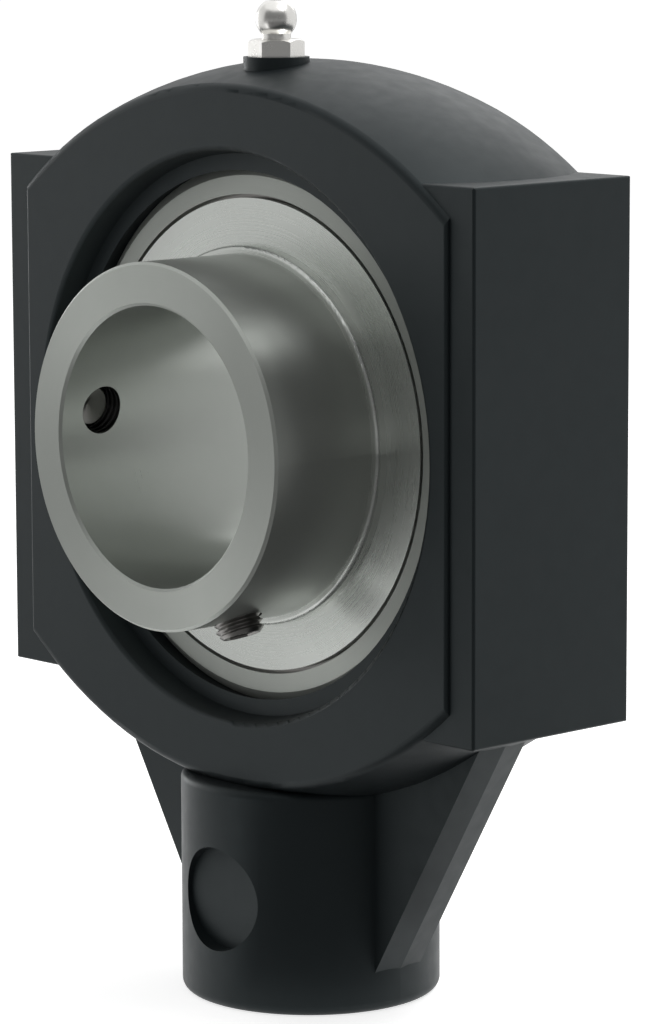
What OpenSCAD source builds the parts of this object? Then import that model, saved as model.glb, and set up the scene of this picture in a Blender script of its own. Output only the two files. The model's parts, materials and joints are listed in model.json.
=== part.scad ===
// Hanger bearing unit: a ball bearing insert that swivels in a moulded housing with a pipe socket.
// The origin is the bearing's centre. The shaft lies along Y, with the set screws at the front, -Y.

/* [Insert bearing] */
// Shaft diameter
shaft_d = 40; // [30:0.5:50]
// Wall of the inner ring under its raceway
inner_wall = 3.97; // [3:0.01:6]
// Height of the inner ring's shoulders above the bottom of its raceway
inner_shoulder_h = 2.18; // [1.6:0.01:3]
// How far the inner ring reaches out of the outer ring at the front, where the set screws are
inner_front_reach = 19.7; // [17:0.1:24]
// How far the inner ring reaches out of the outer ring at the rear
inner_rear_reach = 8.5; // [6:0.1:14]
// Chamfer at the edges of the bore
bore_chamfer = 0.4; // [0.2:0.1:1.5]
// Chamfer at the outer edges of the inner ring
inner_chamfer = 0.4; // [0.2:0.1:1.5]
// Wall of the outer ring over its raceway
outer_wall = 3.92; // [3:0.01:6]
// Height of the outer ring's lands above the bottom of its raceway
outer_shoulder_h = 2.63; // [1.6:0.01:3]
// Radial size of the outer ring's edge chamfer
outer_chamfer = 1.3; // [0.5:0.1:1.6]
// Radial step from the outer ring's lands to the counterbore for a seal
seal_step = 1.15; // [0.8:0.05:1.4]

/* [Balls and cage] */
// Ball diameter
ball_d = 12; // [10:0.1:14]
// Number of balls
ball_count = 9; // [7:1:9]
// How much larger the raceway's groove radius is than the ball's radius
groove_extra = 0.204; // [0.1:0.001:0.4]
// Gap between a ball and each raceway
ball_gap = 0.03; // [0.01:0.01:0.06]
// Sheet thickness of the cage halves
cage_t = 0.9; // [0.6:0.1:1]
// Gap between the cage ribbon and the outer ring's lands
cage_gap = 1.1; // [0.8:0.1:1.4]
// Gap between a ball and its cage pocket
pocket_gap = 0.12; // [0.08:0.01:0.2]
// Rivet shank diameter
rivet_d = 1.8; // [1.4:0.1:2.2]
// Rivet head diameter
rivet_head_d = 3.2; // [2.6:0.1:3.6]
// Rivet head height
rivet_head_h = 0.7; // [0.4:0.1:1]
// Gap between a rivet and its hole
rivet_gap = 0.02; // [0.01:0.01:0.05]

/* [Seals and flingers] */
// Gap between the cage and a seal
seal_room = 0.58; // [0.4:0.01:1]
// Thickness of the seal's steel core
core_t = 0.7; // [0.5:0.05:0.8]
// Thickness of the rubber on the core
lip_t = 0.6; // [0.4:0.05:0.7]
// Radial width of the rubber inside the core
lip_w = 2; // [1.6:0.1:2.6]
// Gap between the rubber lip and the inner ring
lip_gap = 0.05; // [0.03:0.01:0.1]
// Gap between a seal and its flinger
flinger_gap = 0.6; // [0.4:0.05:1]
// Gap round a flinger's edge
flinger_edge_gap = 0.55; // [0.3:0.05:1]
// Thickness of a flinger's disc
flinger_t = 1; // [0.8:0.05:1.1]
// Thickness of a flinger's collar
flinger_collar_t = 1.15; // [0.8:0.05:1.5]
// How far a flinger's collar stands out of its disc
flinger_collar_h = 1.8; // [1.4:0.1:3.2]

/* [Set screws] */
// Diameter of a set screw, plain at the root of its thread
set_screw_d = 6.9; // [6:0.1:7.5]
// Length of a set screw
set_screw_l = 8; // [7:0.1:9]
// Distance of the set screws from the inner ring's front end
set_screw_from_end = 7.6; // [7:0.1:9]
// Direction of the first set screw, from +X towards +Z
set_screw_angle = 171.5; // [0:0.5:359.5]
// Angle from the first set screw to the second
set_screw_spread = 120; // [62:1:120]
// How far the first set screw's tip stays back from the bore
first_setback = 2.2; // [0.1:0.1:2.5]
// How far the second set screw's tip stays back from the bore
second_setback = 0.4; // [0.1:0.1:2.5]
// Width across flats of the key socket
key_socket_af = 4; // [3:0.1:4.5]
// Depth of the key socket
key_socket_depth = 3.6; // [2:0.1:4]
// Width of the rim round the cup in a set screw's tip
cup_edge = 0.95; // [0.6:0.05:1.4]
// Gap between a set screw and its hole
set_screw_gap = 0.05; // [0.02:0.01:0.1]

/* [Housing body] */
// Wall beside the round opening
side_wall = 3.6; // [2.6:0.1:8]
// Wall over the round opening, and under it
arch_wall = 12.4; // [11:0.1:18]
// Depth of the middle body
body_depth = 32; // [30:0.1:38]
// Radius of the arches, seen from the front
arch_r = 71.9; // [66:0.1:85]
// Radius of the arches' crown across the depth
crown_r = 40.9; // [36:0.1:60]
// How far a side lug stands out of the body
lug_reach = 4.6; // [3:0.1:10]
// How far the lugs' faces lie behind the body's faces
lug_step = 0.7; // [0.3:0.05:2]
// Height of the side lugs
lug_h = 76.7; // [70:0.1:79]
// Rounding of the arches' edges
arch_edge_r = 1.4; // [0.6:0.1:2.5]
// Rounding of the body's upright edges
side_edge_r = 0.5; // [0.2:0.1:1]
// Rounding of the lugs' edges
lug_edge_r = 0.4; // [0.2:0.1:1]
// How far the ledge inside the opening lies in front of the outer ring's face
ledge_over = 1.8; // [1:0.1:3.5]
// Width of the ledge inside the opening
ledge_w = 2.34; // [2:0.01:4]
// How much the opening widens from the ledge to its rim
opening_draft = 0.6; // [0.2:0.1:1]
// Rounding of the opening's rim
rim_r = 0.7; // [0.4:0.1:1.2]
// Gap between the outer ring's sphere and the housing's seat
seat_gap = 0.05; // [0.02:0.01:0.1]
// Gap beside the outer ring in the loading slots
slot_gap = 0.3; // [0.1:0.05:0.6]

/* [Stem and ribs] */
// Diameter of the stem
stem_d = 38; // [36:0.1:42]
// Length of the stem below the lower arch
stem_l = 29.5; // [24:0.1:45]
// How far the stem's shoulder lies above the bottom of the lower arch
shoulder_up = 2; // [1.6:0.1:3.2]
// Rounding of the stem's shoulder
shoulder_r = 1.2; // [0.6:0.1:2]
// Rounding of the stem's lower edge
stem_edge_r = 1.5; // [0.5:0.1:2]
// Diameter of the pipe socket, plain at the root of its thread
socket_d = 26.44; // [20:0.01:27]
// Depth of the pipe socket
socket_depth = 22; // [16:0.1:26]
// Chamfer at the socket's mouth
socket_chamfer = 0.8; // [0.4:0.1:1.5]
// Diameter of the round pocket in the front of the stem
pocket_d = 15.2; // [10:0.1:16]
// Depth of the pocket from the front of the stem
pocket_depth = 2.3; // [1.4:0.1:2.6]
// Height of the pocket's centre above the stem's end
pocket_height = 16; // [10:0.1:20]
// Thickness of the ribs
rib_t = 9.1; // [6:0.1:14]
// How far the middle of a rib's edge stands out as a ridge
rib_ridge = 0.5; // [0.2:0.1:1.2]
// Distance from the outside of a lug to the top of its rib's edge
rib_inset = 8.9; // [6:0.1:14]
// Drop from the bottom of a lug to the top of its rib's edge
rib_drop = 2.65; // [2:0.05:5]
// Height of a rib's foot above the stem's end
rib_foot_h = 5.9; // [3:0.1:14]

/* [Grease nipple] */
// Distance of the nipple's axis in front of the centre
nipple_y = 6; // [5:0.1:7]
// How far the nipple's pad stands over the upper arch
pad_up = 0.5; // [0.2:0.1:1.5]
// Width of the pad outside the corners of the nipple's hexagon
pad_rim = 0.7; // [0.4:0.1:2]
// Width across flats of the nipple's hexagon
nipple_af = 7; // [6.5:0.1:8]
// Height of the hexagon
nipple_hex_h = 2.5; // [2:0.1:3.5]
// How far the chamfer on top of the hexagon cuts into its flats
nipple_hex_edge = 0.15; // [0.05:0.05:0.5]
// Angle of that chamfer to the hexagon's top
nipple_hex_angle = 30; // [15:1:45]
// Turn of the hexagon about its axis
nipple_turn = -13; // [-30:1:30]
// Diameter of the nipple's head
nipple_head_d = 5.9; // [5.2:0.1:6.6]
// Diameter of the flat on top of the head
nipple_flat_d = 2.9; // [2.4:0.1:3.4]
// Diameter of the neck under the head
nipple_neck_d = 4.2; // [3.6:0.1:5]
// Height of the nipple above its pad
nipple_h = 7.9; // [7.6:0.1:9]
// Diameter of the nipple's shank, plain at the root of its thread
nipple_shank_d = 5.9; // [5:0.1:6.2]
// Length of the nipple's shank
nipple_shank_l = 5.5; // [4.5:0.1:7]
// Gap between the nipple's shank and its hole
nipple_gap = 0.05; // [0.02:0.01:0.1]
// Diameter of the nipple's mouth
nipple_mouth_d = 1.9; // [1.4:0.1:2]
// Diameter of the valve ball in the nipple
valve_ball_d = 2.4; // [2.2:0.1:2.6]
// Gap between the valve ball and the nipple
valve_gap = 0.04; // [0.02:0.01:0.08]
// Depth of the mouth above the valve seat
valve_seat_depth = 0.7; // [0.5:0.05:1]
// Thickness of the turned-in lip under the spring
nipple_lip_t = 0.6; // [0.4:0.1:1]
// Wire diameter of the valve spring
spring_wire_d = 0.36; // [0.28:0.02:0.44]
// Turns of the valve spring
spring_turns = 7; // [5:1:9]
// Diameter of the grease passages
grease_hole_d = 2; // [1.4:0.1:2.4]
// Width of the grease groove round the outer ring
grease_groove_w = 2.4; // [1.6:0.1:3]
// Depth of the grease groove
grease_groove_depth = 0.7; // [0.3:0.1:1]

/* [Hidden] */
$fn = 96;

plastic_colour = "#34373a";
ring_colour = "#c4c6c8";
polished_colour = "#d6d8da";
cage_colour = "#a9a79f";
rubber_colour = "#1d1d1f";
screw_colour = "#6d6a66";
plated_colour = "#cfd0cc";

// How far a cut reaches past the surface it opens
cut_over = 1;

// Balls, raceways and rings, from the shaft outwards
bore_r = shaft_d / 2;
ball_r = ball_d / 2;
inner_race_r = bore_r + inner_wall;
pitch_r = inner_race_r + ball_gap + ball_r;
outer_race_r = pitch_r + ball_r + ball_gap;
inner_r = inner_race_r + inner_shoulder_h;
land_r = outer_race_r - outer_shoulder_h;
sphere_r = outer_race_r + outer_wall;
seal_seat_r = land_r + seal_step;
flinger_r = seal_seat_r - flinger_edge_gap;
groove_r = ball_r + groove_extra;
inner_groove_r = inner_race_r + groove_r;
outer_groove_r = outer_race_r - groove_r;
ball_step = 360 / ball_count;

// Cage, seals and flingers, from the middle plane outwards
pocket_r = ball_r + pocket_gap;
cage_w = 2 * (land_r - pitch_r - cage_gap);
seal_seat_y = pocket_r + cage_t + seal_room;
ring_half = seal_seat_y + core_t + lip_t + flinger_gap + flinger_t;
face_r = sqrt(pow(sphere_r, 2) - pow(ring_half, 2)) - outer_chamfer;
inner_front = ring_half + inner_front_reach;
inner_rear = ring_half + inner_rear_reach;
set_screw_y = set_screw_from_end - inner_front;

// Housing, from the seat outwards
seat_r = sphere_r + seat_gap;
slot_half = ring_half + slot_gap;
ledge_y = ring_half + ledge_over;
ledge_r = sqrt(pow(seat_r, 2) - pow(ledge_y, 2)) + ledge_w;
opening_r = ledge_r + opening_draft;
body_w = 2 * (opening_r + side_wall);
arch_h = opening_r + arch_wall;
arch_centre_z = arch_r - arch_h;
lug_w = body_w + 2 * lug_reach;
lug_depth = body_depth - 2 * lug_step;
stem_r = stem_d / 2;
shaft_height = arch_h + stem_l;
stem_shoulder_z = arch_h - shoulder_up;
rib_top_x = lug_w / 2 - rib_inset;
rib_top_z = lug_h / 2 + rib_drop;

// Grease nipple
pad_z = arch_h + pad_up;
nipple_corner_d = nipple_af / cos(30);
hex_top_r = nipple_af / 2 - nipple_hex_edge;
hex_cone_r = hex_top_r + nipple_hex_h / tan(nipple_hex_angle);
head_r = nipple_head_d / 2;
head_z = nipple_h - sqrt(pow(head_r, 2) - pow(nipple_flat_d / 2, 2));
valve_ball_r = valve_ball_d / 2;
mouth_r = nipple_mouth_d / 2;
chamber_r = valve_ball_r + valve_gap;
valve_seat_z = nipple_h - valve_seat_depth;
valve_ball_z = valve_seat_z - sqrt(pow(chamber_r, 2) - pow(mouth_r, 2));
spring_r = valve_ball_r - spring_wire_d / 2;
spring_bottom_z = nipple_lip_t - nipple_shank_l + spring_wire_d / 2 + valve_gap;
spring_contact_r = chamber_r + spring_wire_d / 2;
spring_top_z = valve_ball_z - sqrt(pow(spring_contact_r, 2) - pow(spring_r, 2));

// Turns a profile of radius and depth about the shaft's axis
module about_shaft() {
    rotate([-90, 0, 0])
        rotate_extrude()
            children();
}

// Turns children about the shaft, from +X towards +Z
module around(angle) {
    rotate([0, -angle, 0])
        children();
}

// Mirrors a piece of the front half to the rear
module at_rear() {
    mirror([0, 1, 0])
        children();
}

// A rectangle about the origin with rounded corners
module round_rectangle(w, h, r) {
    square([w - 2 * r, h], center = true);
    square([w, h - 2 * r], center = true);
    for (x = [-1, 1])
        for (y = [-1, 1])
            translate([x * (w / 2 - r), y * (h / 2 - r)])
                circle(r);
}

// Half section of an arched body: a crowned outside with rounded edges
module arch_section() {
    crown_centre = arch_r - crown_r;
    edge_y = body_depth / 2 - arch_edge_r;
    edge_x = crown_centre + sqrt(pow(crown_r - arch_edge_r, 2) - pow(edge_y, 2));
    crown_half = edge_y * crown_r / (crown_r - arch_edge_r);
    translate([0, -body_depth / 2])
        square([edge_x, body_depth]);
    for (side = [-1, 1])
        translate([edge_x, side * edge_y])
            circle(arch_edge_r);
    intersection() {
        translate([crown_centre, 0])
            circle(crown_r);
        translate([crown_centre, -crown_half])
            square([crown_r, 2 * crown_half]);
    }
}

// The body's middle, between an arch above and an arch below
module arched_body() {
    intersection() {
        translate([0, 0, -arch_centre_z])
            about_shaft()
                arch_section();
        translate([0, 0, arch_centre_z])
            about_shaft()
                arch_section();
        translate([0, 0, -arch_h])
            linear_extrude(2 * arch_h)
                round_rectangle(body_w, body_depth, side_edge_r);
    }
}

// The block that makes both side lugs, rounded on every edge
module lugs() {
    intersection() {
        translate([0, 0, -lug_h / 2])
            linear_extrude(lug_h)
                round_rectangle(lug_w, lug_depth, lug_edge_r);
        translate([0, lug_depth / 2, 0])
            rotate([90, 0, 0])
                linear_extrude(lug_depth)
                    round_rectangle(lug_w, lug_h, lug_edge_r);
        translate([-lug_w / 2, 0, 0])
            rotate([90, 0, 90])
                linear_extrude(lug_w)
                    round_rectangle(lug_depth, lug_h, lug_edge_r);
    }
}

// The round stem, with a rounded shoulder above and a rounded edge below
module stem() {
    shoulder_z = -stem_shoulder_z;
    end_z = -shaft_height;
    rotate_extrude() {
        translate([0, end_z])
            square([stem_r - stem_edge_r, shaft_height - stem_shoulder_z]);
        translate([0, end_z + stem_edge_r])
            square([stem_r, shaft_height - stem_shoulder_z - stem_edge_r]);
        translate([0, shoulder_z - cut_over])
            square([stem_r - shoulder_r, cut_over + shoulder_r]);
        intersection() {
            translate([stem_r - stem_edge_r, end_z + stem_edge_r])
                circle(stem_edge_r);
            translate([0, end_z])
                square([stem_r, stem_edge_r]);
        }
        intersection() {
            translate([stem_r - shoulder_r, shoulder_z])
                circle(shoulder_r);
            translate([0, shoulder_z])
                square([stem_r, shoulder_r]);
        }
    }
}

// The rib on the +X side: its edge runs from the lug down to the stem, with a low ridge along it
module rib() {
    foot_x = stem_r;
    foot_z = rib_foot_h - shaft_height;
    run_x = rib_top_x - foot_x;
    run_z = -rib_top_z - foot_z;
    run = sqrt(pow(run_x, 2) + pow(run_z, 2));
    lean = atan2(run_x, run_z);
    into_stem = rib_foot_h / 2;
    into_lug = 2 * rib_drop;
    width = run_x * cos(lean);
    translate([foot_x, 0, foot_z])
        rotate([0, lean, 0])
            translate([0, 0, -into_stem])
                linear_extrude(run + into_stem + into_lug)
                    polygon([
                        [-width, -rib_t / 2],
                        [-rib_ridge, -rib_t / 2],
                        [0, 0],
                        [-rib_ridge, rib_t / 2],
                        [-width, rib_t / 2]
                    ]);
}

// The space inside the housing: opening, rims, ledges and the spherical seat
module seat_space() {
    rim_y = body_depth / 2 - rim_r;
    about_shaft() {
        intersection() {
            circle(seat_r);
            translate([0, -ledge_y - cut_over])
                square([seat_r, 2 * (ledge_y + cut_over)]);
        }
        for (side = [0, 1])
            mirror([0, side]) {
                polygon([
                    [0, ledge_y],
                    [ledge_r, ledge_y],
                    [opening_r, rim_y],
                    [opening_r, body_depth],
                    [0, body_depth]
                ]);
                difference() {
                    translate([0, rim_y])
                        square([opening_r + rim_r, rim_r + cut_over]);
                    translate([opening_r + rim_r, rim_y])
                        circle(rim_r);
                }
            }
    }
    intersection() {
        rotate([-90, 0, 0])
            cylinder(r = seat_r, h = body_depth / 2);
        translate([-2 * seat_r, 0, -slot_half])
            cube([4 * seat_r, body_depth, 2 * slot_half]);
    }
}

// The pipe socket in the stem, with a chamfered mouth
module socket_space() {
    socket_r = socket_d / 2;
    translate([0, 0, -shaft_height])
        rotate_extrude()
            polygon([
                [0, -cut_over],
                [socket_r + socket_chamfer + cut_over, -cut_over],
                [socket_r, socket_chamfer],
                [socket_r, socket_depth],
                [0, socket_depth]
            ]);
}

// The nipple's hole and the grease passage below it
module grease_space() {
    hole_r = nipple_shank_d / 2 + nipple_gap;
    translate([0, -nipple_y, 0]) {
        translate([0, 0, pad_z - nipple_shank_l - nipple_gap])
            cylinder(r = hole_r, h = nipple_shank_l + nipple_gap + cut_over);
        translate([0, 0, seat_r / 2])
            cylinder(d = grease_hole_d, h = pad_z - seat_r / 2 - nipple_shank_l);
    }
}

module housing() {
    color(plastic_colour)
        difference() {
            union() {
                arched_body();
                lugs();
                stem();
                rib();
                mirror([1, 0, 0])
                    rib();
                translate([0, -nipple_y, seat_r])
                    cylinder(d = nipple_corner_d + 2 * pad_rim, h = pad_z - seat_r);
            }
            seat_space();
            socket_space();
            grease_space();
            translate([0, pocket_depth - stem_r, pocket_height - shaft_height])
                rotate([90, 0, 0])
                    cylinder(d = pocket_d, h = stem_r);
        }
}

// Stands a piece of the nipple on its pad
module on_pad() {
    translate([0, -nipple_y, pad_z])
        children();
}

module grease_nipple() {
    color(plated_colour)
        on_pad()
            difference() {
                union() {
                    intersection() {
                        rotate([0, 0, nipple_turn])
                            cylinder(d = nipple_corner_d, h = nipple_hex_h, $fn = 6);
                        cylinder(r1 = hex_cone_r, r2 = hex_top_r, h = nipple_hex_h);
                    }
                    translate([0, 0, -nipple_shank_l])
                        cylinder(d = nipple_shank_d, h = nipple_shank_l);
                    cylinder(d = nipple_neck_d, h = head_z);
                    intersection() {
                        translate([0, 0, head_z])
                            sphere(head_r);
                        translate([0, 0, nipple_hex_h])
                            cylinder(r = head_r, h = nipple_h - nipple_hex_h);
                    }
                }
                translate([0, 0, nipple_lip_t - nipple_shank_l])
                    cylinder(r = chamber_r, h = valve_seat_z - nipple_lip_t + nipple_shank_l);
                translate([0, 0, -nipple_shank_l - cut_over])
                    cylinder(r = mouth_r, h = nipple_shank_l + nipple_h + 2 * cut_over);
            }
}

module nipple_ball() {
    color(polished_colour)
        on_pad()
            translate([0, 0, valve_ball_z])
                sphere(valve_ball_r);
}

// One ring of points of the valve spring's wire, at a share of the spring's height
function spring_ring(share, sides) =
    let(turn = 360 * spring_turns * share)
    let(z = spring_bottom_z + share * (spring_top_z - spring_bottom_z))
    [for (k = [0:sides - 1])
        let(a = 360 * k / sides)
        let(r = spring_r + spring_wire_d / 2 * cos(a))
        [r * cos(turn), r * sin(turn), z + spring_wire_d / 2 * sin(a)]];

module nipple_spring() {
    sides = 6;
    rings = spring_turns * 14;
    points = [for (i = [0:rings]) each spring_ring(i / rings, sides)];
    wall = [for (i = [0:rings - 1])
        for (k = [0:sides - 1])
            let(next = (k + 1) % sides)
            [i * sides + k, i * sides + next, (i + 1) * sides + next, (i + 1) * sides + k]];
    first_end = [[for (k = [0:sides - 1]) sides - 1 - k]];
    last_end = [[for (k = [0:sides - 1]) rings * sides + k]];
    color(cage_colour)
        on_pad()
            polyhedron(points, concat(first_end, wall, last_end));
}

module outer_ring() {
    edge_y = ring_half - outer_chamfer;
    edge_r = sqrt(pow(sphere_r, 2) - pow(edge_y, 2));
    color(ring_colour)
        difference() {
            about_shaft()
                difference() {
                    intersection() {
                        circle(sphere_r);
                        polygon([
                            [land_r, -seal_seat_y],
                            [seal_seat_r, -seal_seat_y],
                            [seal_seat_r, -ring_half],
                            [face_r, -ring_half],
                            [edge_r, -edge_y],
                            [2 * sphere_r, -edge_y],
                            [2 * sphere_r, edge_y],
                            [edge_r, edge_y],
                            [face_r, ring_half],
                            [seal_seat_r, ring_half],
                            [seal_seat_r, seal_seat_y],
                            [land_r, seal_seat_y]
                        ]);
                    }
                    translate([outer_groove_r, 0])
                        circle(groove_r);
                    translate([sqrt(pow(sphere_r, 2) - pow(nipple_y, 2)) - grease_groove_depth, -nipple_y])
                        translate([0, -grease_groove_w / 2])
                            square([sphere_r, grease_groove_w]);
                }
            for (angle = [90, 270])
                around(angle)
                    translate([land_r - cut_over, -nipple_y, 0])
                        rotate([0, 90, 0])
                            cylinder(d = grease_hole_d, h = sphere_r - land_r + 2 * cut_over);
        }
}

// Sets a piece at the place of one of the two set screws, with its +Z pointing away from the shaft
module at_set_screw(i) {
    around(set_screw_angle + (i - 1) * set_screw_spread)
        translate([0, set_screw_y, 0])
            rotate([0, 90, 0])
                children();
}

module inner_ring() {
    color(ring_colour)
        difference() {
            about_shaft()
                difference() {
                    polygon([
                        [bore_r, bore_chamfer - inner_front],
                        [bore_r + bore_chamfer, -inner_front],
                        [inner_r - inner_chamfer, -inner_front],
                        [inner_r, inner_chamfer - inner_front],
                        [inner_r, inner_rear - inner_chamfer],
                        [inner_r - inner_chamfer, inner_rear],
                        [bore_r + bore_chamfer, inner_rear],
                        [bore_r, inner_rear - bore_chamfer]
                    ]);
                    translate([inner_groove_r, 0])
                        circle(groove_r);
                }
            for (i = [1, 2])
                at_set_screw(i)
                    cylinder(d = set_screw_d + 2 * set_screw_gap, h = 2 * inner_r);
        }
}

// Sets a piece at the place of one ball
module at_ball(i) {
    around(90 + (i - 1) * ball_step)
        translate([pitch_r, 0, 0])
            children();
}

module ball(i) {
    color(polished_colour)
        at_ball(i)
            sphere(ball_r);
}

// Sets a piece at the place of one rivet, midway between two balls
module at_rivet(i) {
    around(90 + (i - 0.5) * ball_step)
        translate([pitch_r, 0, 0])
            rotate([-90, 0, 0])
                children();
}

// A ball's place as a sphere of any size, turned so that its poles lie outside the cage ribbon
module pocket_sphere(i, r) {
    at_ball(i)
        rotate([0, 90, 0])
            rotate([0, 0, -90])
                sphere(r);
}

// The rear half of the cage: a flat ribbon that bulges round each ball
module cage_half() {
    ribbon_in = pitch_r - cage_w / 2;
    color(cage_colour)
        difference() {
            intersection() {
                about_shaft()
                    translate([ribbon_in, 0])
                        square([cage_w, pocket_r + cage_t + cut_over]);
                union() {
                    about_shaft()
                        translate([ribbon_in - cut_over, -cut_over])
                            square([cage_w + 2 * cut_over, cage_t + cut_over]);
                    for (i = [1:ball_count])
                        pocket_sphere(i, pocket_r + cage_t);
                }
            }
            for (i = [1:ball_count]) {
                pocket_sphere(i, pocket_r);
                at_rivet(i)
                    cylinder(d = rivet_d + 2 * rivet_gap, h = 4 * cage_t, center = true);
            }
        }
}

module cage_rear() {
    cage_half();
}

module cage_front() {
    at_rear()
        cage_half();
}

module cage_rivets() {
    color(cage_colour)
        for (i = [1:ball_count])
            at_rivet(i) {
                translate([0, 0, -cage_t - rivet_head_h])
                    cylinder(d = rivet_head_d, h = rivet_head_h);
                translate([0, 0, -cage_t])
                    cylinder(d = rivet_d, h = 2 * cage_t);
                translate([0, 0, cage_t])
                    cylinder(d = rivet_head_d, h = rivet_head_h);
            }
}

// The rear seal's steel washer, with a short rim in the outer ring's counterbore
module seal_core() {
    rim_end = seal_seat_y + core_t + lip_t;
    core_in = inner_r + lip_w;
    color(ring_colour)
        about_shaft()
            polygon([
                [core_in, seal_seat_y],
                [seal_seat_r, seal_seat_y],
                [seal_seat_r, rim_end],
                [seal_seat_r - core_t, rim_end],
                [seal_seat_r - core_t, seal_seat_y + core_t],
                [core_in, seal_seat_y + core_t]
            ]);
}

module seal_core_rear() {
    seal_core();
}

module seal_core_front() {
    at_rear()
        seal_core();
}

// The rear seal's rubber: a layer on the steel washer and a pointed lip beside the inner ring
module seal_lip() {
    lip_r = inner_r + lip_gap;
    core_in = inner_r + lip_w;
    back_y = seal_seat_y + core_t;
    rubber_out = seal_seat_r - core_t;
    color(rubber_colour)
        about_shaft()
            polygon([
                [core_in, seal_seat_y],
                [core_in, back_y],
                [rubber_out, back_y],
                [rubber_out, back_y + lip_t],
                [lip_r + lip_t, back_y + lip_t],
                [lip_r, back_y + lip_t / 2],
                [lip_r, back_y],
                [lip_r + lip_t, seal_seat_y]
            ]);
}

module seal_lip_rear() {
    seal_lip();
}

module seal_lip_front() {
    at_rear()
        seal_lip();
}

// The rear flinger: a disc flush with the outer ring's face, and a collar pressed on the inner ring
module flinger() {
    collar_r = inner_r + flinger_collar_t;
    collar_end = ring_half + flinger_collar_h;
    round_r = flinger_collar_t / 2;
    color(polished_colour)
        about_shaft() {
            translate([inner_r, ring_half - flinger_t])
                square([flinger_r - inner_r, flinger_t]);
            translate([inner_r, ring_half - flinger_t])
                square([flinger_collar_t, flinger_t + flinger_collar_h - round_r]);
            translate([inner_r, collar_end - flinger_collar_t])
                square([flinger_collar_t - round_r, flinger_collar_t]);
            translate([collar_r - round_r, collar_end - round_r])
                circle(round_r);
        }
}

module flinger_rear() {
    flinger();
}

module flinger_front() {
    at_rear()
        flinger();
}

module set_screw(i) {
    tip = bore_r + (i == 1 ? first_setback : second_setback);
    end = tip + set_screw_l;
    cup_r = set_screw_d / 2 - cup_edge;
    tip_chamfer = cup_edge / 2;
    color(screw_colour)
        at_set_screw(i)
            difference() {
                rotate_extrude()
                    polygon([
                        [0, tip + cup_r / 2],
                        [cup_r, tip],
                        [set_screw_d / 2 - tip_chamfer, tip],
                        [set_screw_d / 2, tip + tip_chamfer],
                        [set_screw_d / 2, end - tip_chamfer],
                        [set_screw_d / 2 - tip_chamfer, end],
                        [0, end]
                    ]);
                translate([0, 0, end - key_socket_depth])
                    cylinder(d = key_socket_af / cos(30), h = key_socket_depth + cut_over, $fn = 6);
            }
}

housing();
grease_nipple();
nipple_ball();
nipple_spring();
outer_ring();
inner_ring();
for (i = [1:ball_count]) ball(i);
cage_front();
cage_rear();
cage_rivets();
seal_core_front();
seal_core_rear();
seal_lip_front();
seal_lip_rear();
flinger_front();
flinger_rear();
set_screw(1);  // set_screw_1
set_screw(2);  // set_screw_2
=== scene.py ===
"""Hanger bearing unit: finishes, threads, valve spring, studio and camera, all in metres.
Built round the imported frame."""

import json
import math

import bmesh
import bpy
from mathutils import Matrix, Vector


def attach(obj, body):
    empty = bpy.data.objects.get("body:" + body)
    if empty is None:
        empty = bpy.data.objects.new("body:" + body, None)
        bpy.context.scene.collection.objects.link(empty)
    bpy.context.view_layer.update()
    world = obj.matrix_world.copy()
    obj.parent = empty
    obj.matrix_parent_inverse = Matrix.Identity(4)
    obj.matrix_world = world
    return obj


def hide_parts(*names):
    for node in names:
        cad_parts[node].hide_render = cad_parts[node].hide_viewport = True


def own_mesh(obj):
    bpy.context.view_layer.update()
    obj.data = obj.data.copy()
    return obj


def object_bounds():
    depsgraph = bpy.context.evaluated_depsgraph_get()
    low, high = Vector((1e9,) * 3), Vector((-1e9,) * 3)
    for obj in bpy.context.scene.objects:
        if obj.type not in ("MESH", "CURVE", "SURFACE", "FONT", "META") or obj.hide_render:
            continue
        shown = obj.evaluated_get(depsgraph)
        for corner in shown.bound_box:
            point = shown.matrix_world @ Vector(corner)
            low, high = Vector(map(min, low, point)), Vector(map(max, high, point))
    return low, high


MM = 0.001

# Camera, fitted to edges in the photograph
IMAGE_H = 1024
VIEW_AZIMUTH = math.radians(47.06)
VIEW_ELEVATION = math.radians(8.64)
VIEW_ROLL = math.radians(-0.21)
VIEW_DISTANCE = 630.06 * MM
VIEW_FOCAL_PX = 4342.0
VIEW_TARGET_RIGHT = 2.43 * MM
VIEW_TARGET_UP = -12.18 * MM
SENSOR_MM = 36.0

# Set screws, as placed in the part's source: turn about the shaft in degrees, distance of the tip
SCREW_Y = -22.6 * MM
SCREW_PLACES = {"set_screw_1": (171.5, 22.2 * MM), "set_screw_2": (291.5, 20.4 * MM)}
SCREW_LENGTH = 8.0 * MM
SCREW_CREST_R = 3.45 * MM
SCREW_ROOT_R = 2.95 * MM
SCREW_PITCH = 1.0 * MM
SCREW_HOLE_R = 3.5 * MM
SCREW_CUP_R = 2.5 * MM
SCREW_CUP_DEPTH = 1.2 * MM
SCREW_END_RIM = 0.2 * MM
SCREW_RUN_IN = 0.9 * MM
SCREW_KEY_R = 2.31 * MM
SCREW_KEY_DEPTH = 3.6 * MM
SCREW_KEY_CHAMFER = 0.25 * MM
SCREW_KEY_CONE = 0.8 * MM
SCREW_CONE_TIP_R = 0.05 * MM
SCREW_SIDES = 60
SCREW_ROWS = 96
TOOTH_SLOPE = 2.6
TOOTH_ROOT_SHARE = 0.2

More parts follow.
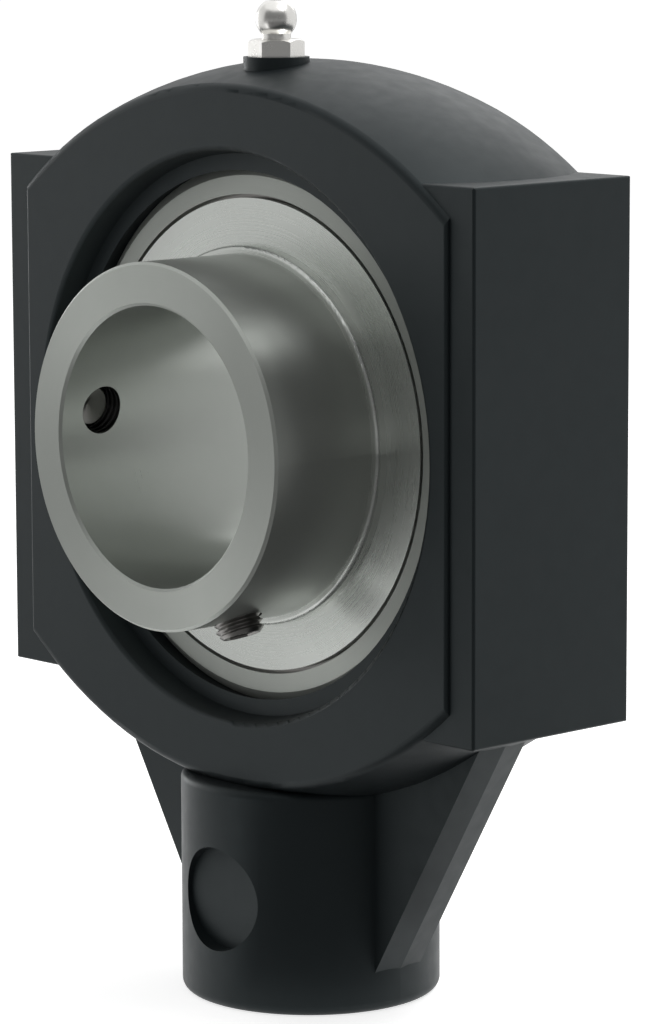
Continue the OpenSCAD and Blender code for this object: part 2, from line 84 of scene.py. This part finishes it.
# Pipe thread in the stem's socket
THREAD_ROOT_R = 13.22 * MM
THREAD_CREST_R = 12.1 * MM
THREAD_PITCH = 1.814 * MM
THREAD_BOTTOM_Z = -81.4 * MM
THREAD_TOP_Z = -62.4 * MM
THREAD_STEPS_PER_TURN = 72
THREAD_FADE_TURNS = 0.6
THREAD_FADE_START = 2
THREAD_SUNK = 0.05 * MM
THREAD_HALF_ROOT = 0.47
THREAD_HALF_CREST = 0.07

# Valve spring in the nipple: the middle line of its wire, and how far the valve presses it
NIPPLE_Y = -6.0 * MM
SPRING_R = 1.02 * MM
SPRING_WIRE_R = 0.18 * MM
SPRING_TURNS = 7
SPRING_STEPS_PER_TURN = 40
SPRING_WIRE_SIDES = 12
SPRING_LOW_Z = 49.222 * MM
SPRING_HIGH_Z = 59.317 * MM

# Edges of made pieces sharper than this are not smoothed
SHARP_EDGE = math.radians(32)

# Studio
FLOOR_SIZE = 20.0
FLOOR_GLOW = 0.72
WORLD_FILL = 0.4
CARD_STEPS = 24
CARD_LIFT = 0.5 * MM
CARD_R = 0.45
BAND_LOW_Z = -0.045
BAND_HIGH_Z = 0.05
CARD_TOP_Z = 0.50

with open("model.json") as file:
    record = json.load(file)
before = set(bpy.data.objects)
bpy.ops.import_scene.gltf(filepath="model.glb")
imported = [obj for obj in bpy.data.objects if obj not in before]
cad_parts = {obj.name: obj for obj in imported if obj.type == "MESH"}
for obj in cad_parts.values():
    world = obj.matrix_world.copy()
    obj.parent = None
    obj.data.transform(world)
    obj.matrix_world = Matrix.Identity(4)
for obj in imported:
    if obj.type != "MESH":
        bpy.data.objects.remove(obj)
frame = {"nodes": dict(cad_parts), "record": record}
cad_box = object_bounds()
nodes = frame["nodes"]


# Small helpers for shader trees

class Tree:
    """A material's or the world's node tree, with short calls to add and link nodes."""

    def __init__(self, owner):
        owner.use_nodes = True
        self.tree = owner.node_tree
        self.tree.nodes.clear()

    def add(self, kind, inputs=None, **settings):
        node = self.tree.nodes.new(kind)
        for key, value in settings.items():
            setattr(node, key, value)
        for key, value in (inputs or {}).items():
            self.put(node.inputs[key], value)
        return node

    def put(self, socket, value):
        if isinstance(value, bpy.types.NodeSocket):
            self.tree.links.new(value, socket)
        else:
            socket.default_value = value

    def math(self, operation, a, b=0.0):
        node = self.add("ShaderNodeMath", {0: a, 1: b}, operation=operation)
        return node.outputs[0]

    def noise(self, vector, scale, detail, roughness):
        inputs = {"Vector": vector, "Scale": scale, "Detail": detail, "Roughness": roughness}
        return self.add("ShaderNodeTexNoise", inputs).outputs["Fac"]

    def spread(self, value, low, high):
        inputs = {"Value": value, "To Min": low, "To Max": high}
        return self.add("ShaderNodeMapRange", inputs).outputs[0]

    def bump(self, height, strength, distance, normal=None):
        inputs = {"Height": height, "Strength": strength, "Distance": distance}
        if normal is not None:
            inputs["Normal"] = normal
        return self.add("ShaderNodeBump", inputs).outputs[0]

    def mix_colour(self, factor, a, b):
        node = self.add("ShaderNodeMix", data_type="RGBA")
        self.put(node.inputs[0], factor)
        self.put(node.inputs[6], a)
        self.put(node.inputs[7], b)
        return node.outputs[2]

    def finish(self, shader):
        self.add("ShaderNodeOutputMaterial", {"Surface": shader.outputs[0]})


def rgba(r, g, b):
    return (r, g, b, 1.0)


# Materials

def moulded_plastic(name):
    """Charcoal glass-filled plastic: fine grain, faint flow clouds and a satin skin."""
    material = bpy.data.materials.new(name)
    tree = Tree(material)
    place = tree.add("ShaderNodeTexCoord").outputs["Object"]
    grain = tree.noise(place, scale=2600.0, detail=4.0, roughness=0.6)
    clouds = tree.noise(place, scale=55.0, detail=3.0, roughness=0.55)
    fibres = tree.noise(place, scale=420.0, detail=2.0, roughness=0.5)
    dark, light = rgba(0.0072, 0.0098, 0.0112), rgba(0.0116, 0.0148, 0.0163)
    cloudy = tree.spread(clouds, 0.2, 0.8)
    skin = tree.bump(fibres, strength=0.10, distance=0.06 * MM)
    skin = tree.bump(grain, strength=0.22, distance=0.02 * MM, normal=skin)
    shader = tree.add("ShaderNodeBsdfPrincipled", {
        "Base Color": tree.mix_colour(cloudy, dark, light),
        "Roughness": tree.spread(fibres, 0.39, 0.53),
        "Specular IOR Level": 0.33,
        "Specular Tint": rgba(0.84, 0.98, 1.0),
        "Normal": skin,
    })
    tree.finish(shader)
    return material


def shaft_lines(tree, place, lines_per_mm):
    """A noise that runs round the shaft's axis, as tool marks do on turned faces and bores."""
    parts = tree.add("ShaderNodeSeparateXYZ", {0: place}).outputs
    x_square = tree.math("MULTIPLY", parts["X"], parts["X"])
    z_square = tree.math("MULTIPLY", parts["Z"], parts["Z"])
    radius = tree.math("SQRT", tree.math("ADD", x_square, z_square))
    across = tree.add("ShaderNodeCombineXYZ", {"X": radius, "Y": parts["Y"]}).outputs[0]
    return tree.noise(across, scale=lines_per_mm / MM, detail=2.0, roughness=0.65)


def screw_holes(tree, place):
    """1 on the walls of the two set screw holes, where shade is painted, and the height of the
    thread cut in them.
    """
    inside, thread = 0.0, 0.0
    reach = SCREW_HOLE_R + 0.02 * MM
    for turn, _ in SCREW_PLACES.values():
        turned = {"Vector": place, "Axis": (0.0, 1.0, 0.0), "Angle": math.radians(turn)}
        parts = tree.add("ShaderNodeSeparateXYZ", {
            0: tree.add("ShaderNodeVectorRotate", turned).outputs[0]}).outputs
        along = tree.math("SUBTRACT", parts["Y"], SCREW_Y)
        off_square = tree.math("ADD", tree.math("MULTIPLY", along, along),
                               tree.math("MULTIPLY", parts["Z"], parts["Z"]))
        near = tree.math("LESS_THAN", off_square, reach ** 2)
        here = tree.math("MULTIPLY", near, tree.math("GREATER_THAN", parts["X"], 0.0))
        around = tree.math("ARCTAN2", along, parts["Z"])
        rise = tree.math("MULTIPLY", parts["X"], 2 * math.pi / SCREW_PITCH)
        wave = tree.math("SINE", tree.math("ADD", rise, around))
        inside = tree.math("MAXIMUM", here, inside)
        thread = tree.math("ADD", tree.math("MULTIPLY", here, wave), thread)
    return inside, thread


def turned_steel(name, dark, light, face_roughness, side_roughness, anisotropy, metallic):
    """Turned or ground steel, with tool marks round the shaft's axis and faint smudges.
    Flat faces across the shaft and round sides along it have their own roughness,
    and the walls of the set screw holes carry painted shade, a near-black colour, with a bump of
    a cut thread."""
    material = bpy.data.materials.new(name)
    tree = Tree(material)
    coordinates = tree.add("ShaderNodeTexCoord").outputs
    lines = shaft_lines(tree, coordinates["Object"], lines_per_mm=5.0)
    smudge = tree.noise(coordinates["Object"], scale=90.0, detail=3.0, roughness=0.6)
    normal = tree.add("ShaderNodeSeparateXYZ", {0: coordinates["Normal"]}).outputs
    shine = tree.spread(tree.math("ABSOLUTE", normal["Y"]), side_roughness, face_roughness)
    shine = tree.math("ADD", shine, tree.spread(lines, -0.05, 0.05))
    shine = tree.math("ADD", shine, tree.spread(smudge, -0.04, 0.04))
    hole_shade_mask, thread = screw_holes(tree, coordinates["Object"])
    colour = tree.mix_colour(smudge, dark, light)
    # Painted shade: the hole walls get a near-black colour for the shade in the recess, not the
    # steel's own colour
    hole_painted_shade = rgba(0.05, 0.05, 0.048)
    skin = tree.bump(lines, strength=0.11, distance=0.02 * MM)
    shader = tree.add("ShaderNodeBsdfPrincipled", {
        "Base Color": tree.mix_colour(hole_shade_mask, colour, hole_painted_shade),
        "Metallic": metallic,
        "Roughness": shine,
        "Anisotropic": anisotropy,
        "Anisotropic Rotation": 0.25,
        "Normal": tree.bump(thread, strength=1.0, distance=0.25 * MM, normal=skin),
        "Tangent": tree.add("ShaderNodeTangent", direction_type="RADIAL", axis="Y").outputs[0],
    })
    tree.finish(shader)
    return material


def bright_metal(name, dark, light, roughness):
    """Plated, polished or pressed metal with a fine uneven skin."""
    material = bpy.data.materials.new(name)
    tree = Tree(material)
    place = tree.add("ShaderNodeTexCoord").outputs["Object"]
    skin = tree.noise(place, scale=900.0, detail=3.0, roughness=0.6)
    smudge = tree.noise(place, scale=160.0, detail=3.0, roughness=0.6)
    shader = tree.add("ShaderNodeBsdfPrincipled", {
        "Base Color": tree.mix_colour(smudge, dark, light),
        "Metallic": 1.0,
        "Roughness": tree.spread(smudge, roughness - 0.05, roughness + 0.07),
        "Normal": tree.bump(skin, strength=0.12, distance=0.02 * MM),
    })
    tree.finish(shader)
    return material


def seal_rubber(name):
    """Black nitrile rubber, matt with a faint bloom."""
    material = bpy.data.materials.new(name)
    tree = Tree(material)
    place = tree.add("ShaderNodeTexCoord").outputs["Object"]
    bloom = tree.noise(place, scale=300.0, detail=4.0, roughness=0.6)
    dark, light = rgba(0.010, 0.010, 0.011), rgba(0.022, 0.022, 0.023)
    shader = tree.add("ShaderNodeBsdfPrincipled", {
        "Base Color": tree.mix_colour(bloom, dark, light),
        "Roughness": tree.spread(bloom, 0.55, 0.75),
        "Normal": tree.bump(bloom, strength=0.15, distance=0.03 * MM),
    })
    tree.finish(shader)
    return material


SLOT_MATERIALS = {
    "black_plastic": moulded_plastic("black_plastic"),
    "ring_steel": turned_steel(
        "ring_steel", rgba(0.390, 0.410, 0.384), rgba(0.468, 0.490, 0.461),
        face_roughness=0.55, side_roughness=0.31, anisotropy=0.7, metallic=0.85),
    "sheet_steel": turned_steel(
        "sheet_steel", rgba(0.612, 0.635, 0.604), rgba(0.690, 0.715, 0.682),
        face_roughness=0.28, side_roughness=0.28, anisotropy=0.9, metallic=0.93),
    "polished_steel": bright_metal(
        "polished_steel", rgba(0.62, 0.62, 0.62), rgba(0.68, 0.68, 0.68), roughness=0.10),
    "cage_steel": bright_metal(
        "cage_steel", rgba(0.42, 0.41, 0.39), rgba(0.50, 0.49, 0.47), roughness=0.32),
    "seal_rubber": seal_rubber("seal_rubber"),
    "screw_steel": bright_metal(
        "screw_steel", rgba(0.22, 0.215, 0.205), rgba(0.32, 0.31, 0.30), roughness=0.32),
    "plated_steel": bright_metal(
        "plated_steel", rgba(0.80, 0.79, 0.76), rgba(0.90, 0.89, 0.86), roughness=0.27),
}

for part in frame["record"]["subparts"]:
    node = nodes[part["node"]]
    node.data.materials.clear()
    node.data.materials.append(SLOT_MATERIALS[part["material_slot"]])


# Threads and the valve spring

def new_piece(name, mesh_maker, body, slot):
    """Makes a piece from a bmesh, shades it and lets it ride on a body."""
    build = bmesh.new()
    mesh_maker(build)
    bmesh.ops.recalc_face_normals(build, faces=build.faces)
    mesh = bpy.data.meshes.new(name)
    build.to_mesh(mesh)
    build.free()
    mesh.polygons.foreach_set("use_smooth", [True] * len(mesh.polygons))
    mesh.set_sharp_from_angle(angle=SHARP_EDGE)
    mesh.materials.append(SLOT_MATERIALS[slot])
    piece = bpy.data.objects.new(name, mesh)
    bpy.context.scene.collection.objects.link(piece)
    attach(piece, body)
    return piece


def bridge_rings(build, rings):
    """Joins each ring of points to the next with faces."""
    rows = [[build.verts.new(point) for point in ring] for ring in rings]
    for low, high in zip(rows, rows[1:]):
        for k in range(len(low)):
            after = (k + 1) % len(low)
            build.faces.new((low[k], low[after], high[after], high[k]))
    return rows


def close_ends(build, rows):
    """Puts a face on the first and the last ring."""
    build.faces.new(rows[0])
    build.faces.new(rows[-1])


def circle_ring(radius, height, sides):
    """A ring of points on a circle."""
    turns = [2 * math.pi * k / sides for k in range(sides)]
    return [Vector((radius * math.cos(t), radius * math.sin(t), height)) for t in turns]


def hex_ring(corner_r, height, sides):
    """A ring of points on a hexagon's outline."""
    ring = []
    for k in range(sides):
        turn = 2 * math.pi * k / sides
        from_flat = (turn % (math.pi / 3)) - math.pi / 6
        radius = corner_r * math.cos(math.pi / 6) / math.cos(from_flat)
        ring.append(Vector((radius * math.cos(turn), radius * math.sin(turn), height)))
    return ring


def thread_ring(height, sides):
    """A ring across a screw thread: its radius follows the helix and fades out near both ends."""
    depth = SCREW_CREST_R - SCREW_ROOT_R
    near_end = min(height, SCREW_LENGTH - height)
    limit = SCREW_CUP_R + SCREW_END_RIM + near_end * (SCREW_CREST_R - SCREW_CUP_R) / SCREW_RUN_IN
    ring = []
    for k in range(sides):
        phase = (height / SCREW_PITCH - k / sides) % 1.0
        tooth = min(1.0, max(0.0, abs(phase - 0.5) * TOOTH_SLOPE - TOOTH_ROOT_SHARE))
        radius = min(SCREW_ROOT_R + depth * tooth, limit)
        turn = 2 * math.pi * k / sides
        ring.append(Vector((radius * math.cos(turn), radius * math.sin(turn), height)))
    return ring


def screw_mesh(turn, tip):
    """A headless socket set screw with a cup point; turn and tip place it at the shaft."""
    turned = Matrix.Rotation(-math.radians(turn), 4, "Y")
    outward = turned @ Matrix.Translation((tip, SCREW_Y, 0.0))
    place = outward @ Matrix.Rotation(math.pi / 2, 4, "Y")
    heights = [SCREW_LENGTH * k / SCREW_ROWS for k in range(SCREW_ROWS + 1)]
    key_bottom = SCREW_LENGTH - SCREW_KEY_DEPTH

    def make(build):
        rings = [
            circle_ring(SCREW_CONE_TIP_R, SCREW_CUP_DEPTH, SCREW_SIDES),
            circle_ring(SCREW_CUP_R, 0.0, SCREW_SIDES),
            *[thread_ring(height, SCREW_SIDES) for height in heights],
            hex_ring(SCREW_KEY_R + SCREW_KEY_CHAMFER, SCREW_LENGTH, SCREW_SIDES),
            hex_ring(SCREW_KEY_R, SCREW_LENGTH - SCREW_KEY_CHAMFER, SCREW_SIDES),
            hex_ring(SCREW_KEY_R, key_bottom, SCREW_SIDES),
            circle_ring(SCREW_CONE_TIP_R, key_bottom - SCREW_KEY_CONE, SCREW_SIDES),
        ]
        close_ends(build, bridge_rings(build, rings))
        bmesh.ops.transform(build, matrix=place, verts=build.verts)

    return make


def pipe_thread_mesh(build):
    """The ridge of the internal pipe thread, a helix that tapers out at both ends."""
    steps = round((THREAD_TOP_Z - THREAD_BOTTOM_Z) / THREAD_PITCH * THREAD_STEPS_PER_TURN)
    fade = THREAD_STEPS_PER_TURN * THREAD_FADE_TURNS
    wall_r = THREAD_ROOT_R + THREAD_SUNK
    rings = []
    for k in range(steps + 1):
        turn = 2 * math.pi * k / THREAD_STEPS_PER_TURN
        z = THREAD_BOTTOM_Z + THREAD_PITCH * k / THREAD_STEPS_PER_TURN
        share = min(1.0, (min(k, steps - k) + THREAD_FADE_START) / fade)
        crest = THREAD_ROOT_R - share * (THREAD_ROOT_R - THREAD_CREST_R)
        half_root = THREAD_HALF_ROOT * THREAD_PITCH * share
        half_crest = THREAD_HALF_CREST * THREAD_PITCH * share
        profile = [
            (wall_r, -half_root), (crest, -half_crest), (crest, half_crest), (wall_r, half_root)]
        rings.append([
            Vector((r * math.cos(turn), r * math.sin(turn), z + up)) for r, up in profile])
    close_ends(build, bridge_rings(build, rings))


def valve_spring_mesh(build):
    """The check valve's spring, a helix of round wire."""
    steps = SPRING_TURNS * SPRING_STEPS_PER_TURN
    rings = []
    for k in range(steps + 1):
        turn = 2 * math.pi * k / SPRING_STEPS_PER_TURN
        z = SPRING_LOW_Z + (SPRING_HIGH_Z - SPRING_LOW_Z) * k / steps
        ring = []
        for point in circle_ring(SPRING_WIRE_R, 0.0, SPRING_WIRE_SIDES):
            radius = SPRING_R + point.x
            x, y = radius * math.cos(turn), NIPPLE_Y + radius * math.sin(turn)
            ring.append(Vector((x, y, z + point.y)))
        rings.append(ring)
    close_ends(build, bridge_rings(build, rings))


for screw, (turn, tip) in SCREW_PLACES.items():
    piece = new_piece(screw + "_threaded", screw_mesh(turn, tip), screw, "screw_steel")
    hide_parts(screw)

new_piece("pipe_thread", pipe_thread_mesh, "housing", "black_plastic")

spring = new_piece("valve_spring", valve_spring_mesh, "housing", "cage_steel")
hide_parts("nipple_spring")
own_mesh(spring)


# Studio

def seen_share(tree):
    """1 for rays from the camera, reflections and glass, which see the white background."""
    path = tree.add("ShaderNodeLightPath").outputs
    mirrored = tree.math("MAXIMUM", path["Is Glossy Ray"], path["Is Transmission Ray"])
    return tree.math("MAXIMUM", path["Is Camera Ray"], mirrored)


def studio_floor():
    """A pale floor under the stem: white to the camera, with a soft shadow left on it."""
    bpy.ops.mesh.primitive_plane_add(size=FLOOR_SIZE, location=(0.0, 0.0, cad_box[0][2]))
    floor = bpy.context.object
    floor.name = "studio_floor"
    material = bpy.data.materials.new("studio_floor")
    tree = Tree(material)
    card = tree.add("ShaderNodeBsdfDiffuse", {"Color": rgba(0.8, 0.8, 0.8)})
    strength = tree.math("MULTIPLY", seen_share(tree), FLOOR_GLOW)
    glow = tree.add("ShaderNodeEmission", {"Color": rgba(1.0, 1.0, 1.0), "Strength": strength})
    tree.finish(tree.add("ShaderNodeAddShader", {0: card.outputs[0], 1: glow.outputs[0]}))
    floor.data.materials.append(material)


def studio_world():
    """White to the camera and in reflections, and a plain grey as light."""
    world = bpy.data.worlds.new("studio_world")
    bpy.context.scene.world = world
    tree = Tree(world)
    white = rgba(1.0, 1.0, 1.0)
    backdrop = tree.add("ShaderNodeBackground", {"Color": white, "Strength": 1.0})
    fill = tree.add("ShaderNodeBackground", {"Color": white, "Strength": WORLD_FILL})
    shaders = {0: seen_share(tree), 1: fill.outputs[0], 2: backdrop.outputs[0]}
    mix = tree.add("ShaderNodeMixShader", shaders)
    tree.add("ShaderNodeOutputWorld", {"Surface": mix.outputs[0]})


def studio_card(name, start_deg, end_deg, profile, grey):
    """A curved card round the part, seen only in reflections, as a darker room would be.
    Its profile is a list of distances from the shaft's centre and heights."""
    build = bmesh.new()
    step_deg = (end_deg - start_deg) / CARD_STEPS
    turns = [math.radians(start_deg + step_deg * k) for k in range(CARD_STEPS + 1)]
    rows = []
    for radius, z in profile:
        points = [(radius * math.cos(turn), radius * math.sin(turn), z) for turn in turns]
        rows.append([build.verts.new(point) for point in points])
    for low, high in zip(rows, rows[1:]):
        for k in range(CARD_STEPS):
            build.faces.new((low[k], low[k + 1], high[k + 1], high[k]))
    mesh = bpy.data.meshes.new(name)
    build.to_mesh(mesh)
    build.free()
    material = bpy.data.materials.new(name)
    tree = Tree(material)
    glow = {"Color": rgba(grey, grey, grey), "Strength": 1.0}
    tree.finish(tree.add("ShaderNodeEmission", glow))
    mesh.materials.append(material)
    card = bpy.data.objects.new(name, mesh)
    bpy.context.scene.collection.objects.link(card)
    card.visible_camera = False
    card.visible_diffuse = False
    card.visible_shadow = False


def view_axes():
    """The camera's right, up and back directions before its roll."""
    level = math.cos(VIEW_ELEVATION)
    east, south = math.sin(VIEW_AZIMUTH), -math.cos(VIEW_AZIMUTH)
    back = Vector((east * level, south * level, math.sin(VIEW_ELEVATION)))
    right = Vector((math.cos(VIEW_AZIMUTH), math.sin(VIEW_AZIMUTH), 0.0))
    return right, back.cross(right), back


def studio_camera():
    """The camera at the photograph's place, with its roll."""
    right, up, back = view_axes()
    eye = right * VIEW_TARGET_RIGHT + up * VIEW_TARGET_UP + back * VIEW_DISTANCE
    rolled_right = right * math.cos(VIEW_ROLL) + up * math.sin(VIEW_ROLL)
    rolled_up = up * math.cos(VIEW_ROLL) - right * math.sin(VIEW_ROLL)
    turn = Matrix((rolled_right, rolled_up, back)).transposed().to_4x4()
    lens = bpy.data.cameras.new("camera")
    lens.sensor_width = SENSOR_MM
    lens.lens = VIEW_FOCAL_PX / IMAGE_H * SENSOR_MM
    lens.clip_start = 0.01
    camera = bpy.data.objects.new("camera", lens)
    camera.matrix_world = Matrix.Translation(eye) @ turn
    bpy.context.scene.collection.objects.link(camera)
    bpy.context.scene.camera = camera


def soft_light(name, right_m, up_m, back_m, size, power):
    """A square lamp placed by the camera's axes, aimed at the bearing's centre."""
    right, up, back = view_axes()
    lamp = bpy.data.lights.new(name, "AREA")
    lamp.size = size
    lamp.energy = power
    light = bpy.data.objects.new(name, lamp)
    light.location = right * right_m + up * up_m + back * back_m
    light.rotation_euler = (-light.location).to_track_quat("-Z", "Y").to_euler()
    light.visible_camera = False
    bpy.context.scene.collection.objects.link(light)


low_z = cad_box[0][2] + CARD_LIFT
low_edge, low_band, high_band, top_edge = [
    (CARD_R, z) for z in (low_z, BAND_LOW_Z, BAND_HIGH_Z, CARD_TOP_Z)]

studio_floor()
studio_world()
studio_card("floor_card", 265.0, 378.0, [(0.030, low_z), low_edge], grey=0.15)
studio_card("dark_card", 246.0, 378.0, [low_edge, low_band], grey=0.06)
studio_card("light_card", 246.0, 378.0, [low_band, high_band], grey=0.30)
studio_card("grey_card", 246.0, 378.0, [high_band, top_edge], grey=0.18)
studio_card("left_card", 185.0, 246.0, [(0.08, low_z), low_edge, top_edge], grey=0.68)
studio_card("back_card", 105.0, 170.0, [low_edge, (CARD_R, 0.16)], grey=0.55)
studio_card("right_card", 18.0, 100.0, [(0.10, low_z), low_edge, (CARD_R, 0.60)], grey=0.80)
studio_camera()
soft_light("key_light", right_m=0.43, up_m=0.83, back_m=0.34, size=0.32, power=3.0)
soft_light("rim_light", right_m=0.42, up_m=0.65, back_m=-0.42, size=1.00, power=2.8)
soft_light("left_light", right_m=-0.72, up_m=0.05, back_m=-0.55, size=0.50, power=4.0)

bpy.context.scene.view_settings.view_transform = "Standard"
